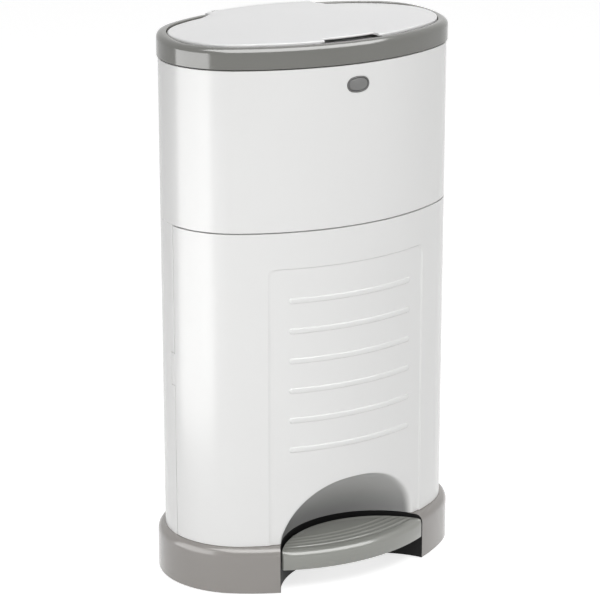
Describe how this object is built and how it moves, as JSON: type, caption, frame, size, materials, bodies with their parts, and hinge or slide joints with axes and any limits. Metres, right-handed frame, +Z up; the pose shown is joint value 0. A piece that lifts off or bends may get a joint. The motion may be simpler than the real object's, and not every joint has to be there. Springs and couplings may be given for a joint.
{
  "type": "nappy bin",
  "caption": "Tall oval pedal bin for nappies with a grey plinth, collar and foot pedal, a hinged lid over a funnel with trap flaps, and a front door.",
  "frame": {"origin": "centre of the bounding box at floor level, under the middle of the body", "axes": "+Z up, the front with the pedal faces -Y, +X to the right seen from the front"},
  "size_m": [0.3194, 0.2226, 0.5544],
  "materials": {
    "body_white": "smooth satin-gloss moulded plastic",
    "lid_white": "smooth gloss moulded plastic",
    "case_white": "thin moulded refill case",
    "plinth_grey": "warm grey satin plastic",
    "collar_grey": "warm mid grey satin plastic",
    "pedal_grey": "light grey plastic with low grip ridges",
    "button_grey": "fine grained grey plastic",
    "inner_grey": "plain light grey plastic of the inner pieces",
    "dark_plastic": "dark grey plastic",
    "film": "folded thin film sleeve",
    "rubber": "soft matt rubber",
    "steel": "bright zinc plated steel"
  },
  "bodies": {
    "body": {"base_plinth": "plinth_grey", "rubber_feet": "rubber", "base_screws": "steel", "pedal_pivot_pin": "steel", "return_spring": "steel", "rod_guides": "inner_grey", "rod_cover": "body_white", "rear_shell": "body_white", "mid_frame": "inner_grey", "door_hinge_pins": "steel", "latch_guide": "inner_grey", "latch_spring": "steel", "upper_shell": "body_white", "cassette_tray": "inner_grey", "cassette_case": "case_white", "film_pack": "film", "button_bezel": "dark_plastic", "button_guide": "inner_grey", "button_spring": "steel", "collar_hinge_pins": "steel"},
    "pedal": {"pedal_tread": "pedal_grey", "pedal_lever": "dark_plastic"},
    "rod": {"push_rod": "steel", "rod_head": "dark_plastic", "rod_foot": "dark_plastic", "rod_clip": "steel"},
    "door": {"front_door": "body_white", "cutter_housing": "inner_grey", "cutter_blade": "steel"},
    "latch_tab": {"door_latch": "body_white"},
    "button": {"release_button": "button_grey", "button_bar": "dark_plastic"},
    "top_unit": {"top_collar": "collar_grey", "hopper": "inner_grey", "hopper_screws": "steel", "trap_frame": "inner_grey", "trap_pins": "steel", "trap_springs": "steel", "lid_hinge_pins": "steel"},
    "trap_front": {"trap_flap_front": "inner_grey"},
    "trap_rear": {"trap_flap_rear": "inner_grey"},
    "lid": {"lid_shell": "lid_white", "lid_inner": "lid_white", "lid_seal": "rubber", "crank_pin": "steel"}
  },
  "joints": [
    {"name": "lid_hinge", "type": "hinge", "parent": "top_unit", "child": "lid", "pos_m": [0, 0.1025, 0.5455], "axis": [-1, 0, 0], "range_deg": [0, 80]},
    {"name": "collar_hinge", "type": "hinge", "parent": "body", "child": "top_unit", "pos_m": [0, 0.1042, 0.5275], "axis": [-1, 0, 0], "range_deg": [0, 75]},
    {"name": "rod_slide", "type": "slide", "parent": "body", "child": "rod", "axis": [0, 0, 1], "range_m": [0, 0.0222], "deforming": ["return_spring"]},
    {"name": "pedal_hinge", "type": "hinge", "parent": "body", "child": "pedal", "pos_m": [0, -0.024, 0.022], "axis": [1, 0, 0], "range_deg": [0, 11.5]},
    {"name": "trap_front_hinge", "type": "hinge", "parent": "top_unit", "child": "trap_front", "pos_m": [0, -0.0362, 0.448], "axis": [-1, 0, 0], "range_deg": [0, 80], "stiffness_Nm_per_rad": 0.02, "springref_deg": -85.94},
    {"name": "trap_rear_hinge", "type": "hinge", "parent": "top_unit", "child": "trap_rear", "pos_m": [0, 0.0362, 0.448], "axis": [1, 0, 0], "range_deg": [0, 80], "stiffness_Nm_per_rad": 0.02, "springref_deg": -85.94},
    {"name": "button_slide", "type": "slide", "parent": "body", "child": "button", "axis": [0, 1, 0], "range_m": [0, 0.004], "stiffness_N_per_m": 300, "springref_m": -0.004, "deforming": ["button_spring"]},
    {"name": "door_hinge", "type": "hinge", "parent": "body", "child": "door", "pos_m": [0.14663, -0.0094, 0.2], "axis": [0, 0, 1], "range_deg": [0, 90]},
    {"name": "latch_slide", "type": "slide", "parent": "body", "child": "latch_tab", "axis": [1, 0, 0], "range_m": [0, 0.003], "stiffness_N_per_m": 300, "springref_m": -0.004, "deforming": ["latch_spring"]}
  ],
  "couplings": [
    {"joint": "rod_slide", "follows": "lid_hinge", "m_per_rad": 0.015652},
    {"joint": "pedal_hinge", "follows": "lid_hinge", "ratio": 0.13975}
  ]
}
